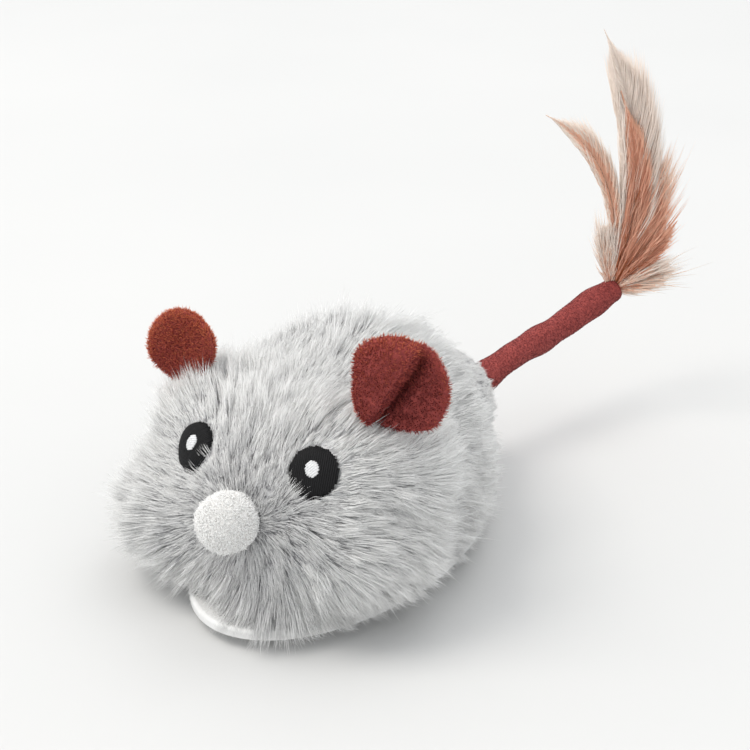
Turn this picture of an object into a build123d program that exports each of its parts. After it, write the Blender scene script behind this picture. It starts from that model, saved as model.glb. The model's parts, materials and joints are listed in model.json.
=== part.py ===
"""Clockwork plush mouse: spring motor, wheels, plastic chassis, fur cover and feather tail.

Frame: millimetres, origin on the floor 4 mm behind the middle of the oval tray, +Z up,
-Y towards the nose, +X towards the mouse's left side. Every axle lies along X.
"""
from build123d import *
import os
from math import acos, atan2, cos, degrees, hypot, pi, radians, sin, tan

os.makedirs("parts", exist_ok=True)

# Body masses: domes that are round above the equator height and straight-sided below it
HEAD_CENTRE = (0.0, -15.0, 17.0)
BODY_MASSES = (
    dict(centre=HEAD_CENTRE, radius=30.5),
    dict(centre=(0.0, -4.0, 17.0), radius=31.0),
    dict(centre=(0.0, 12.0, 23.5), radius=26.0),
    dict(centre=(0.0, 30.5, 19.0), radius=17.5),
    dict(centre=(17.0, -26.0, 14.0), radius=18.0),
    dict(centre=(-17.0, -26.0, 14.0), radius=18.0),
)
FUR_THICKNESS = 3.0
FUR_FLOOR = 5.0
HOOD_LINE, HOOD_RADIUS = (-12.0, 12.5), 21.5
HOOD_EQUATOR = 20.5
HOOD_WALL = 1.5
HOOD_FLOOR = 4.7
LAYER_GAP = 0.2

# Base tray
TRAY_MIDDLE_Y, TRAY_HALF_WIDTH, TRAY_HALF_LENGTH = -4.0, 26.0, 43.5
TRAY_UNDERSIDE, TRAY_TOP = 2.5, 4.5
LIP_TOP, LIP_WALL, LIP_GAP = 8.0, 1.5, 0.1
TRAY_EDGE_ROUND = 0.8
COUNTERBORE_DEPTH = 1.2

# Wheels and roller
WHEEL_RADIUS, TYRE_THICKNESS = 9.0, 1.6
WHEEL_INNER_X, WHEEL_OUTER_X = 13.6, 17.4
WHEEL_SLOT_GAP_X, WHEEL_SLOT_HALF_Y = 0.6, 9.3
AXLE_RADIUS = 1.0
ROLLER_Y, ROLLER_RADIUS, ROLLER_HALF_WIDTH = -24.5, 5.0, 4.0
ROLLER_PIN_RADIUS = 0.8
ROLLER_POST_X, ROLLER_POST_HALF_Y, ROLLER_POST_TOP = (5.2, 7.2), 2.5, 8.0
ROLLER_SLOT_GAP_X, ROLLER_SLOT_HALF_Y = 0.8, 6.0

# Spring motor: centre points are (y, z)
MODULE = 0.5
WHEEL_ADDENDUM, PINION_ADDENDUM, DEDENDUM = 0.75, 1.0, 1.25
TOOTH_THINNING = 0.06
PRESSURE_ANGLE = radians(20)
PINION_TEETH, SECOND_TEETH, GREAT_TEETH = 12, 36, 42
AXLE_CENTRE = (13.0, WHEEL_RADIUS)
SECOND_DISTANCE = MODULE * (PINION_TEETH + SECOND_TEETH) / 2
GREAT_DISTANCE = MODULE * (PINION_TEETH + GREAT_TEETH) / 2
SECOND_ANGLE, GREAT_ANGLE = radians(104.5), radians(157.8)
SECOND_CENTRE = (
    AXLE_CENTRE[0] + SECOND_DISTANCE * cos(SECOND_ANGLE),
    AXLE_CENTRE[1] + SECOND_DISTANCE * sin(SECOND_ANGLE),
)
GREAT_CENTRE = (
    SECOND_CENTRE[0] + GREAT_DISTANCE * cos(GREAT_ANGLE),
    SECOND_CENTRE[1] + GREAT_DISTANCE * sin(GREAT_ANGLE),
)
GREAT_WHEEL_X = (-3.3, -1.3)
SECOND_PINION_X = (-4.0, -0.7)
SECOND_WHEEL_X = (3.5, 5.5)
AXLE_PINION_X = (2.8, 6.2)
SECOND_SHAFT_RADIUS = 0.8
ARBOR_RADIUS = 1.5
RUNNING_GAP = 0.05
PLATE_X, PLATE_THICKNESS = 11.0, 1.2
PLATE_OUTER_X = PLATE_X + PLATE_THICKNESS
FOOT_X, FOOT_Z = 7.0, (4.6, 5.8)
FOOT_YS, FOOT_HALF_Y = (-8.5, 3.0), 3.5
PILLAR_RADIUS, RIVET_RADIUS = 1.5, 0.9
PILLAR_CENTRES = ((-13.0, 9.0), (19.0, 9.0), (-15.3, 27.0), (16.5, 30.0))
SHAFT_END_X = 12.8
SPRING_X = (-10.3, -4.5)
DRUM_RADIUS = 3.0
SPRING_THICKNESS, SPRING_PITCH, SPRING_TURNS = 0.3, 1.15, 6
SPRING_GAP = 0.05
RATCHET_X, RATCHET_TEETH, RATCHET_RADIUS, RATCHET_DEPTH = (-1.0, 0.8), 12, 5.0, 0.9
CLICK_X = (-0.9, 0.7)
CLICK_PIN_OFFSET, CLICK_PIN_RADIUS, CLICK_BOSS_RADIUS = (0.0, 8.0), 0.6, 1.2
CLICK_TIP_OFFSET, CLICK_TIP_RADIUS = (4.1, 3.95), 0.5
CLICK_SPRING_INSIDE = ((2.0, 8.4), (4.6, 7.0), (5.1, 4.6))
CLICK_SPRING_OUTSIDE = ((5.35, 4.6), (4.8, 7.2), (2.0, 8.7))
CLICK_SPRING_FOOT, CLICK_SPRING_FOOT_RADIUS = (2.2, 8.55), 0.5

# Key on the mouse's right side
COLLAR_RADIUS, COLLAR_BORE, COLLAR_X = 3.2, 1.9, (-31.5, -19.2)
COVER_HOLE_RADIUS = 3.5
KEY_HUB_X, KEY_HUB_RADIUS = (-35.8, -32.0), 2.6
KEY_WING_X, KEY_WING_SPAN, KEY_THICKNESS = (-42.0, -35.0), 10.0, 1.8
ARBOR_END_X = -34.0

# Screws
CASE_SCREW_POINTS = ((15.5, -12.0), (-15.5, -12.0), (7.5, 27.0), (-7.5, 27.0))
CASE_BOSS_RADIUS = 2.2
CASE_SCREW = dict(shank=1.1, head=2.0, top=12.0)
MOTOR_SCREW_X = 9.2
MOTOR_SCREW_POINTS = tuple((side * MOTOR_SCREW_X, y) for side in (1, -1) for y in FOOT_YS)
MOTOR_SCREW = dict(shank=0.9, head=1.7, top=7.4)
SCREW_HEAD_HEIGHT = 0.9
HEAD_CLEARANCE = 0.3

# Face and ears: places are on the outer form
NOSE_CENTRE, NOSE_RADIUS = Vector(0, -45.6, 25.6), 6.2
EYE_CENTRE, EYE_SIZE, EYE_HEIGHT = Vector(14.4, -35.3, 34.6), (4.7, 5.4), 0.8
GLINT_SIZE, GLINT_HEIGHT = (1.5, 1.8), 0.5
EAR_THICKNESS = 2.4
EARS = {
    "left": dict(middle=Vector(24.5, -21.0, 50.5), up=Vector(0.50, 0.08, 0.86), size=(9.5, 13.5)),
    "right": dict(middle=Vector(-26.0, -21.0, 47.0), up=Vector(-0.75, 0.10, 0.66), size=(9.0, 12.0)),
}

# Tail: it starts at the pivot on the rump and runs to the feather bundle
TAIL_PIVOT = Vector(3.0, 48.6, 20.0)
TAIL_END = Vector(16.0, 96.6, 30.1)
TAIL_RADIUS, TAIL_CORE_RADIUS = 3.7, 2.2
TAIL_START, CUFF_RADIUS, CUFF_RECESS = 4.6, 3.8, 4.3
CUFF_DEPTH = 1.8
PLUG_LENGTH = 5.0
FEATHER_THICKNESS, FEATHER_SPACING = 0.4, 0.8
FEATHER_FACING = radians(33)

BIG = 400.0


# ---- Helpers ----
def prism(sketch, x_range):
    """Extrude a (y, z) sketch along X between two x values."""
    low, high = x_range
    section = Plane(origin=(low, 0, 0), x_dir=(0, 1, 0), z_dir=(1, 0, 0)) * sketch
    return extrude(section, high - low)


def rod(centre, radius, x_range):
    """Round bar along X through a (y, z) centre."""
    return prism(Pos(*centre) * Circle(radius), x_range)


def post(point, radius, z_range):
    """Upright round bar at an (x, y) point."""
    low, high = z_range
    return extrude(Pos(point[0], point[1], low) * Circle(radius), high - low)


def box(x_range, y_range, z_range):
    """Box between pairs of limits."""
    size = [high - low for low, high in (x_range, y_range, z_range)]
    middle = [(high + low) / 2 for low, high in (x_range, y_range, z_range)]
    return Pos(*middle) * Box(*size)


def capsule_plan(line, radius):
    """Stadium outline round a centre line along Y."""
    front, back = line
    plan = Pos(0, front) * Circle(radius)
    if back > front:
        plan += Pos(0, back) * Circle(radius)
        plan += Pos(0, (front + back) / 2) * Rectangle(2 * radius, back - front)
    return plan


def upright(line, radius, z_range):
    """Upright prism with a stadium plan."""
    low, high = z_range
    return extrude(Pos(0, 0, low) * capsule_plan(line, radius), high - low)


def dome(line, radius, equator, floor):
    """Half capsule along Y standing on a prism that reaches the floor height."""
    front, back = line
    ridge = Pos(0, front, equator) * Sphere(radius)
    if back > front:
        ridge += Pos(0, back, equator) * Sphere(radius)
        bar = Rot(90, 0, 0) * Cylinder(radius, back - front)
        ridge += Pos(0, (front + back) / 2, equator) * bar
    top = ridge & Pos(0, 0, equator + BIG / 2) * Box(BIG, BIG, BIG)
    return top + upright(line, radius, (floor, equator))


def mouse_form(grow, floor=FUR_FLOOR):
    """The outer body form, grown outwards by a distance."""
    masses = []
    for mass in BODY_MASSES:
        x, y, equator = mass["centre"]
        masses.append(Pos(x, 0, 0) * dome((y, y), mass["radius"] + grow, equator, floor))
    return masses[0].fuse(*masses[1:])


def hood_form(grow, floor=HOOD_FLOOR):
    """The motor hood's outer form, grown outwards by a distance."""
    return dome(HOOD_LINE, HOOD_RADIUS + grow, HOOD_EQUATOR, floor)


def angle_between(start, end):
    """Direction in the (y, z) plane from one centre to another, in radians."""
    return atan2(end[1] - start[1], end[0] - start[0])


def group(solids):
    """Separate solids that share one node."""
    return Compound(children=list(solids))


# ---- Gears ----
def gear_outline(teeth, addendum, tooth_angle):
    """Involute gear face at the origin, with one tooth centred on tooth_angle."""
    pitch_radius = MODULE * teeth / 2
    base_radius = pitch_radius * cos(PRESSURE_ANGLE)
    tip_radius = pitch_radius + addendum * MODULE
    root_radius = pitch_radius - DEDENDUM * MODULE
    half_at_pitch = pi / (2 * teeth) - TOOTH_THINNING / (2 * pitch_radius)

    def half_width(radius):
        roll = acos(min(1.0, base_radius / radius))
        return half_at_pitch + tan(PRESSURE_ANGLE) - PRESSURE_ANGLE - (tan(roll) - roll)

    def point(radius, angle):
        return (radius * cos(angle), radius * sin(angle))

    start = max(root_radius, base_radius)
    radii = [start, (start + tip_radius) / 2, tip_radius]
    root_half = half_width(start)
    edges = []
    for index in range(teeth):
        middle = tooth_angle + 2 * pi * index / teeth
        rising = [point(r, middle - half_width(r)) for r in radii]
        falling = [point(r, middle + half_width(r)) for r in reversed(radii)]
        foot_in = point(root_radius, middle - root_half)
        foot_out = point(root_radius, middle + root_half)
        next_foot = point(root_radius, middle + 2 * pi / teeth - root_half)
        gap_middle = point(root_radius, middle + pi / teeth)
        if start > root_radius:
            edges += [Line(foot_in, rising[0]), Line(falling[-1], foot_out)]
        edges += [Spline(*rising), Spline(*falling)]
        edges.append(ThreePointArc(rising[-1], point(tip_radius, middle), falling[0]))
        edges.append(ThreePointArc(foot_out, gap_middle, next_foot))
    return make_face(Wire(edges))


def gear(teeth, addendum, centre, tooth_angle, x_range, bore):
    """Gear on an axle along X, with a round bore."""
    face = gear_outline(teeth, addendum, tooth_angle) - Circle(bore)
    return prism(Pos(*centre) * face, x_range)


def meshed_angle(teeth, centre, partner):
    """Tooth angle that puts a gap, not a tooth, towards the partner's centre."""
    return angle_between(centre, partner) + pi / teeth


# ---- Chassis ----
def screw_solid(point, screw):
    """Pan-head screw driven upwards from the tray's underside."""
    seat = TRAY_UNDERSIDE + COUNTERBORE_DEPTH
    head = post(point, screw["head"], (seat - SCREW_HEAD_HEIGHT, seat))
    slot = box(
        (point[0] - screw["head"], point[0] + screw["head"]),
        (point[1] - 0.25, point[1] + 0.25),
        (seat - SCREW_HEAD_HEIGHT, seat - SCREW_HEAD_HEIGHT / 2),
    )
    return head - slot + post(point, screw["shank"], (seat, screw["top"]))


def screw_hole(point, screw):
    """Counterbored hole in the tray for a screw."""
    seat = TRAY_UNDERSIDE + COUNTERBORE_DEPTH
    return post(point, screw["head"] + HEAD_CLEARANCE, (TRAY_UNDERSIDE - 1, seat)) + post(
        point, screw["shank"], (seat, TRAY_TOP + 1)
    )


def base_tray():
    """Oval tray with a locating lip, wheel slots, roller posts and screw holes."""
    plan = Pos(0, TRAY_MIDDLE_Y, TRAY_UNDERSIDE) * Ellipse(TRAY_HALF_WIDTH, TRAY_HALF_LENGTH)
    tray = extrude(plan, TRAY_TOP - TRAY_UNDERSIDE)
    tray = fillet(tray.faces().sort_by(Axis.Z)[-1].edges(), TRAY_EDGE_ROUND)
    lip_radius = HOOD_RADIUS - HOOD_WALL - LIP_GAP
    lip = upright(HOOD_LINE, lip_radius, (TRAY_TOP - 0.5, LIP_TOP))
    tray += lip - upright(HOOD_LINE, lip_radius - LIP_WALL, (TRAY_TOP - 1, LIP_TOP + 1))
    for side in (1, -1):
        xs = sorted(side * x for x in ROLLER_POST_X)
        ys = (ROLLER_Y - ROLLER_POST_HALF_Y, ROLLER_Y + ROLLER_POST_HALF_Y)
        tray += box(xs, ys, (TRAY_TOP - 0.5, ROLLER_POST_TOP))
        xs = sorted((side * (WHEEL_INNER_X - WHEEL_SLOT_GAP_X), side * (WHEEL_OUTER_X + WHEEL_SLOT_GAP_X)))
        ys = (AXLE_CENTRE[0] - WHEEL_SLOT_HALF_Y, AXLE_CENTRE[0] + WHEEL_SLOT_HALF_Y)
        tray -= box(xs, ys, (0, LIP_TOP + 1))
    slot_x = ROLLER_HALF_WIDTH + ROLLER_SLOT_GAP_X
    ys = (ROLLER_Y - ROLLER_SLOT_HALF_Y, ROLLER_Y + ROLLER_SLOT_HALF_Y)
    tray -= box((-slot_x, slot_x), ys, (0, TRAY_TOP + 0.5))
    pin_reach = ROLLER_POST_X[1] + 1
    tray -= rod((ROLLER_Y, ROLLER_RADIUS), ROLLER_PIN_RADIUS, (-pin_reach, pin_reach))
    for point in CASE_SCREW_POINTS:
        tray -= screw_hole(point, CASE_SCREW)
    for point in MOTOR_SCREW_POINTS:
        tray -= screw_hole(point, MOTOR_SCREW)
    return tray


def motor_hood():
    """Plastic hood over the motor, with screw bosses and the key collar."""
    shell = hood_form(0)
    inside = hood_form(-HOOD_WALL, floor=HOOD_FLOOR - 1)
    hood = shell - inside
    for point in CASE_SCREW_POINTS:
        hood += post(point, CASE_BOSS_RADIUS, (HOOD_FLOOR, BIG / 8)) & shell
    hood += rod(GREAT_CENTRE, COLLAR_RADIUS, COLLAR_X)
    hood -= rod(GREAT_CENTRE, COLLAR_BORE, (COLLAR_X[0] - 1, -HOOD_RADIUS / 2))
    for point in CASE_SCREW_POINTS:
        hood -= post(point, CASE_SCREW["shank"], (0, CASE_SCREW["top"] + 0.5))
    return hood


def cover_hole():
    """Hole through the soft layers for the key collar."""
    return rod(GREAT_CENTRE, COVER_HOLE_RADIUS, (-BIG / 2, -HOOD_RADIUS / 2))


def wadding():
    """Stuffing between the hood and the fur cover."""
    floor = FUR_FLOOR + LAYER_GAP
    outer = mouse_form(-FUR_THICKNESS - LAYER_GAP, floor)
    return outer - hood_form(LAYER_GAP, floor=0) - cover_hole()


def fur_cover():
    """Fur cloth sewn to the shape of the mouse."""
    cover = mouse_form(0) - mouse_form(-FUR_THICKNESS, floor=0) - cover_hole()
    return cover - Pos(TAIL_PIVOT) * Sphere(CUFF_RECESS)


# ---- Running gear ----
def tyre(side):
    """Rubber ring round a drive wheel."""
    xs = sorted((side * WHEEL_INNER_X, side * WHEEL_OUTER_X))
    ring = fillet(rod(AXLE_CENTRE, WHEEL_RADIUS, xs).edges(), 0.7)
    return ring - rod(AXLE_CENTRE, WHEEL_RADIUS - TYRE_THICKNESS, (xs[0] - 1, xs[1] + 1))


def wheel(side):
    """Plastic wheel with a recessed web and a hub."""
    xs = sorted((side * WHEEL_INNER_X, side * WHEEL_OUTER_X))
    radius = WHEEL_RADIUS - TYRE_THICKNESS
    disc = rod(AXLE_CENTRE, radius, xs)
    recess_x = sorted((side * (WHEEL_OUTER_X - 1.2), side * (WHEEL_OUTER_X + 1)))
    groove = rod(AXLE_CENTRE, radius - 1.2, recess_x) - rod(AXLE_CENTRE, 2.4, recess_x)
    for index in range(5):
        angle = 2 * pi * index / 5
        hole = (AXLE_CENTRE[0] + 4.2 * cos(angle), AXLE_CENTRE[1] + 4.2 * sin(angle))
        disc -= rod(hole, 1.1, (xs[0] - 1, xs[1] + 1))
    return disc - groove - rod(AXLE_CENTRE, AXLE_RADIUS, (xs[0] - 1, xs[1] + 1))


def running_gear():
    """Drive axle with its wheels and spacers, and the front roller."""
    axle_end = WHEEL_OUTER_X + 0.6
    spacer = rod(AXLE_CENTRE, 1.9, (PLATE_OUTER_X + 0.5, WHEEL_INNER_X - 0.1))
    spacer -= rod(AXLE_CENTRE, AXLE_RADIUS, (0, BIG / 8))
    roller = rod((ROLLER_Y, ROLLER_RADIUS), ROLLER_RADIUS, (-ROLLER_HALF_WIDTH, ROLLER_HALF_WIDTH))
    roller = fillet(roller.edges(), 0.6)
    roller -= rod((ROLLER_Y, ROLLER_RADIUS), ROLLER_PIN_RADIUS + RUNNING_GAP, (-9, 9))
    pin_end = ROLLER_POST_X[1]
    parts = {
        "drive_axle": rod(AXLE_CENTRE, AXLE_RADIUS, (-axle_end, axle_end)),
        "wheel_spacers": group([spacer, mirror(spacer, Plane.YZ)]),
        "front_roller": roller,
        "roller_pin": rod((ROLLER_Y, ROLLER_RADIUS), ROLLER_PIN_RADIUS, (-pin_end, pin_end)),
    }
    for side, name in ((1, "left"), (-1, "right")):
        parts["wheel_" + name] = wheel(side)
        parts["tyre_" + name] = tyre(side)
    return parts


# ---- Spring motor ----
def motor_plate(side):
    """Pressed steel side plate with two inward feet."""
    corners = [(-17.0, 7.0), (20.8, 7.0), (20.8, 26.0), (18.2, 31.4), (14.0, 31.8), (-17.0, 29.0)]
    outline = fillet(make_face(Polyline(*corners, close=True)).vertices(), 1.4)
    xs = sorted((side * PLATE_X, side * PLATE_OUTER_X))
    plate = prism(outline, xs)
    for y in FOOT_YS:
        upright = box(xs, (y - FOOT_HALF_Y, y + FOOT_HALF_Y), (FOOT_Z[0], 8.5))
        foot_x = sorted((side * FOOT_X, side * PLATE_OUTER_X))
        foot = box(foot_x, (y - FOOT_HALF_Y, y + FOOT_HALF_Y), FOOT_Z)
        hole = post((side * MOTOR_SCREW_X, y), MOTOR_SCREW["shank"], (FOOT_Z[0] - 1, FOOT_Z[1] + 1))
        plate += upright + foot - hole
    holes = [(AXLE_CENTRE, AXLE_RADIUS + RUNNING_GAP + 1.0)]
    holes.append((SECOND_CENTRE, SECOND_SHAFT_RADIUS + RUNNING_GAP))
    holes.append((GREAT_CENTRE, ARBOR_RADIUS + RUNNING_GAP))
    holes += [(centre, RIVET_RADIUS) for centre in PILLAR_CENTRES]
    for centre, radius in holes:
        plate -= rod(centre, radius, (xs[0] - 1, xs[1] + 1))
    return plate


def axle_bush(side):
    """Flanged brass bush for the drive axle."""
    bore = AXLE_RADIUS + RUNNING_GAP
    xs = sorted((side * (PLATE_X - 0.4), side * (PLATE_OUTER_X + 0.3)))
    flange = sorted((side * (PLATE_X - 0.4), side * PLATE_X))
    bush = rod(AXLE_CENTRE, bore + 1.0, xs) + rod(AXLE_CENTRE, bore + 1.6, flange)
    return bush - rod(AXLE_CENTRE, bore, (xs[0] - 1, xs[1] + 1))


def pillar(centre):
    """Spacer pillar with a rivet end through each plate."""
    rivet_end = PLATE_OUTER_X + 0.4
    return rod(centre, PILLAR_RADIUS, (-PLATE_X, PLATE_X)) + rod(
        centre, RIVET_RADIUS, (-rivet_end, rivet_end)
    )


def mainspring():
    """Flat spiral spring: half circles round two centres, then a hook over a pillar."""
    start = DRUM_RADIUS + SPRING_GAP + SPRING_THICKNESS / 2
    hook_pillar = PILLAR_CENTRES[2]
    reach = hypot(hook_pillar[0] - GREAT_CENTRE[0], hook_pillar[1] - GREAT_CENTRE[1])
    end = start + SPRING_TURNS * SPRING_PITCH
    far_side = reach + PILLAR_RADIUS + SPRING_GAP + SPRING_THICKNESS / 2
    arcs = []
    for turn in range(SPRING_TURNS):
        radius = start + turn * SPRING_PITCH
        arcs.append((0, radius, 1))
        arcs.append((SPRING_PITCH / 2, radius + SPRING_PITCH / 2, -1))
    arcs.append(((end + far_side) / 2, (end - far_side) / 2, 1))
    edges = []
    for offset in (SPRING_THICKNESS / 2, -SPRING_THICKNESS / 2):
        for middle, radius, sense in arcs:
            size = radius + offset
            first, last = middle + sense * size, middle - sense * size
            edges.append(ThreePointArc((first, 0), (middle, sense * abs(size)), (last, 0)))
    half = SPRING_THICKNESS / 2
    edges.append(Line((start - half, 0), (start + half, 0)))
    edges.append(Line((far_side - half, 0), (far_side + half, 0)))
    turn_to_pillar = degrees(angle_between(GREAT_CENTRE, hook_pillar))
    face = Pos(*GREAT_CENTRE) * Rot(0, 0, turn_to_pillar) * make_face(Wire(edges))
    return prism(face, SPRING_X)


def ratchet_wheel():
    """Saw-toothed wheel fixed on the arbor."""
    points = []
    for index in range(RATCHET_TEETH):
        angle = 2 * pi * index / RATCHET_TEETH
        inner = RATCHET_RADIUS - RATCHET_DEPTH
        points.append((inner * cos(angle), inner * sin(angle)))
        points.append((RATCHET_RADIUS * cos(angle), RATCHET_RADIUS * sin(angle)))
    face = make_face(Polyline(*points, close=True)) - Circle(ARBOR_RADIUS)
    return prism(Pos(*GREAT_CENTRE) * face, RATCHET_X)


def click():
    """Pawl on the great wheel, its tip just clear of the ratchet's points."""
    pin, tip = CLICK_PIN_OFFSET, CLICK_TIP_OFFSET
    reach = hypot(tip[0] - pin[0], tip[1] - pin[1])
    lean = degrees(atan2(tip[1] - pin[1], tip[0] - pin[0]))
    arm = Pos((pin[0] + tip[0]) / 2, (pin[1] + tip[1]) / 2) * Rot(0, 0, lean) * Rectangle(
        reach, 2 * CLICK_TIP_RADIUS
    )
    face = arm + Pos(*pin) * Circle(CLICK_BOSS_RADIUS) + Pos(*tip) * Circle(CLICK_TIP_RADIUS)
    face -= Pos(*pin) * Circle(CLICK_PIN_RADIUS + RUNNING_GAP)
    return prism(Pos(*GREAT_CENTRE) * face, CLICK_X)


def click_spring():
    """Bent leaf on the great wheel that bears on the click's back."""
    inside = ThreePointArc(*CLICK_SPRING_INSIDE)
    outside = ThreePointArc(*CLICK_SPRING_OUTSIDE)
    ends = [Line(inside @ 1, outside @ 0), Line(outside @ 1, inside @ 0)]
    leaf = make_face(Wire([inside, outside] + ends))
    foot = Pos(*CLICK_SPRING_FOOT) * Circle(CLICK_SPRING_FOOT_RADIUS)
    place = Pos(*GREAT_CENTRE)
    return prism(place * leaf, CLICK_X) + prism(place * foot, (GREAT_WHEEL_X[1], CLICK_X[1]))


def great_wheel():
    """First gear of the train, turned by the spring through the click."""
    tooth = angle_between(GREAT_CENTRE, SECOND_CENTRE)
    gear_body = gear(
        GREAT_TEETH, WHEEL_ADDENDUM, GREAT_CENTRE, tooth, GREAT_WHEEL_X, ARBOR_RADIUS + RUNNING_GAP
    )
    for index in range(4):
        angle = pi / 4 + index * pi / 2
        hole = (GREAT_CENTRE[0] + 6 * cos(angle), GREAT_CENTRE[1] + 6 * sin(angle))
        gear_body -= rod(hole, 1.8, (GREAT_WHEEL_X[0] - 1, GREAT_WHEEL_X[1] + 1))
    pin = (GREAT_CENTRE[0] + CLICK_PIN_OFFSET[0], GREAT_CENTRE[1] + CLICK_PIN_OFFSET[1])
    return gear_body - rod(pin, CLICK_PIN_RADIUS, (GREAT_WHEEL_X[0] - 1, GREAT_WHEEL_X[1] + 1))


def winding_arbor():
    """Arbor with the drum that the spring winds on."""
    return rod(GREAT_CENTRE, ARBOR_RADIUS, (ARBOR_END_X, SHAFT_END_X)) + rod(
        GREAT_CENTRE, DRUM_RADIUS, (SPRING_X[0] - 0.3, SPRING_X[1])
    )


def winding_key():
    """Two-lobed key pushed on the arbor's end."""
    y, z = GREAT_CENTRE
    hub = rod(GREAT_CENTRE, KEY_HUB_RADIUS, KEY_HUB_X)
    middle_x = sum(KEY_WING_X) / 2
    lobe = SlotOverall(KEY_WING_SPAN, KEY_WING_X[1] - KEY_WING_X[0])
    wing = Plane(origin=(middle_x, y - KEY_THICKNESS / 2, z), x_dir=(0, 0, 1), z_dir=(0, 1, 0)) * lobe
    blade = fillet(extrude(wing, KEY_THICKNESS).edges(), 0.6)
    return hub + blade - rod(GREAT_CENTRE, ARBOR_RADIUS, (ARBOR_END_X, 0))


def spring_motor():
    """All the pieces between and on the two side plates."""
    pin = (GREAT_CENTRE[0] + CLICK_PIN_OFFSET[0], GREAT_CENTRE[1] + CLICK_PIN_OFFSET[1])
    second_tooth = angle_between(SECOND_CENTRE, AXLE_CENTRE)
    return {
        "motor_plate_left": motor_plate(1),
        "motor_plate_right": motor_plate(-1),
        "axle_bush_left": axle_bush(1),
        "axle_bush_right": axle_bush(-1),
        "motor_pillars": group(pillar(centre) for centre in PILLAR_CENTRES),
        "mainspring": mainspring(),
        "winding_arbor": winding_arbor(),
        "winding_key": winding_key(),
        "ratchet_wheel": ratchet_wheel(),
        "click": click(),
        "click_pin": rod(pin, CLICK_PIN_RADIUS, (GREAT_WHEEL_X[0], CLICK_X[1] + 0.4)),
        "click_spring": click_spring(),
        "great_wheel": great_wheel(),
        "second_shaft": rod(SECOND_CENTRE, SECOND_SHAFT_RADIUS, (-SHAFT_END_X, SHAFT_END_X)),
        "second_pinion": gear(
            PINION_TEETH, PINION_ADDENDUM, SECOND_CENTRE,
            meshed_angle(PINION_TEETH, SECOND_CENTRE, GREAT_CENTRE), SECOND_PINION_X, SECOND_SHAFT_RADIUS,
        ),
        "second_wheel": gear(
            SECOND_TEETH, WHEEL_ADDENDUM, SECOND_CENTRE, second_tooth, SECOND_WHEEL_X, SECOND_SHAFT_RADIUS
        ),
        "axle_pinion": gear(
            PINION_TEETH, PINION_ADDENDUM, AXLE_CENTRE,
            meshed_angle(PINION_TEETH, AXLE_CENTRE, SECOND_CENTRE), AXLE_PINION_X, AXLE_RADIUS,
        ),
    }


# ---- Face and ears ----
def form_normal(point):
    """Outward direction of the head's surface near a point."""
    return (point - Vector(*HEAD_CENTRE)).normalized()


def face_patch(centre, size, low, high):
    """Oval patch that hugs the head between two heights above the form."""
    plane = Plane(origin=centre, x_dir=(1, 0, 0), z_dir=form_normal(centre))
    column = extrude(plane * Ellipse(*size), 6, both=True)
    return (column & mouse_form(high)) - mouse_form(low)


def ear(name):
    """Flat oval ear whose root meets the head."""
    data = EARS[name]
    up = data["up"].normalized()
    forward = Vector(0, -1, 0)
    across = up.cross(forward).normalized()
    plane = Plane(origin=data["middle"], x_dir=across, z_dir=across.cross(up))
    return extrude(plane * Ellipse(*data["size"]), EAR_THICKNESS / 2, both=True) - mouse_form(0)


def face_parts():
    """Nose pom-pom, embroidered eyes and ears."""
    parts = {"nose_pompom": Pos(NOSE_CENTRE) * Sphere(NOSE_RADIUS) - mouse_form(0)}
    for side, name in ((1, "left"), (-1, "right")):
        centre = Vector(side * EYE_CENTRE.X, EYE_CENTRE.Y, EYE_CENTRE.Z)
        parts["eye_" + name] = face_patch(centre, EYE_SIZE, 0, EYE_HEIGHT)
        parts["eye_glint_" + name] = face_patch(
            centre, GLINT_SIZE, EYE_HEIGHT, EYE_HEIGHT + GLINT_HEIGHT
        )
        parts["ear_" + name] = ear(name)
    return parts


# ---- Tail and feathers ----
def feather(base, side, height, half_width, bow, layer):
    """Thin leaf from the bundle's base to a tip, bowed to one side."""
    facing = Vector(sin(FEATHER_FACING), -cos(FEATHER_FACING), 0)
    across = Vector(cos(FEATHER_FACING), sin(FEATHER_FACING), 0)
    origin = base + facing * (layer * FEATHER_SPACING)
    plane = Plane(origin=origin, x_dir=across, z_dir=facing)
    length = hypot(side, height)
    normal = (-height / length, side / length)

    def bowed(share, offset):
        shift = 4 * bow * share * (1 - share) + offset
        return (side * share + normal[0] * shift, height * share + normal[1] * shift)

    left = Spline(bowed(0, 0.4), bowed(0.5, half_width), bowed(1, 0.3))
    right = Spline(bowed(0, -0.4), bowed(0.5, -half_width), bowed(1, -0.3))
    ends = [Line(left @ 0, right @ 0), Line(left @ 1, right @ 1)]
    return extrude(plane * make_face(Wire([left, right] + ends)), FEATHER_THICKNESS)


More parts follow.
